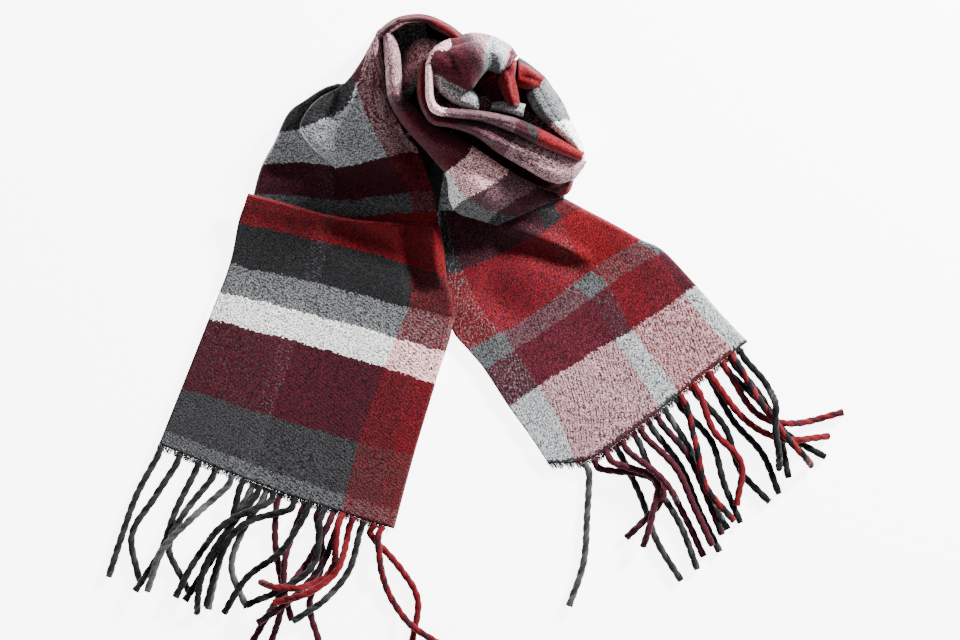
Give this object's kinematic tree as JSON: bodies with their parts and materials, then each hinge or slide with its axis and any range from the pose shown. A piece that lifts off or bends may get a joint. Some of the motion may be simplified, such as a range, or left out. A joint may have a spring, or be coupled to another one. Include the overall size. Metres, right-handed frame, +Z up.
{
  "type": "winter scarf",
  "caption": "Folded wool scarf wound into a loose knot and laid flat, with two fringed tails fanned out.",
  "frame": {"origin": "centre of the laid scarf's bounding box, on the table under it", "axes": "+Z up from the table, +Y towards the knot, +X towards the right tail"},
  "size_m": [0.4604, 0.3978, 0.077],
  "materials": {
    "wool_check": "brushed twill, block check of burgundy, red, charcoal, greys and white",
    "yarn_fringe": "twisted wool strands",
    "hidden_layers": "brushed wool in deep shade"
  },
  "bodies": {
    "root": {"knot_cap": "wool_check", "knot_inner_roll": "wool_check", "knot_outer_roll": "wool_check", "knot_red_fold": "wool_check", "knot_red_crossing": "wool_check", "knot_outer_band": "wool_check", "knot_grey_fold": "wool_check", "knot_inner_twill": "wool_check", "knot_small_loop": "wool_check", "neck": "wool_check", "top_rim": "wool_check", "hollow_lining": "wool_check", "right_tail": "wool_check", "left_tail": "wool_check", "left_upper": "wool_check", "left_wing": "wool_check", "wound_core": "hidden_layers", "left_fringe": "yarn_fringe", "right_fringe": "yarn_fringe"}
  },
  "joints": []
}
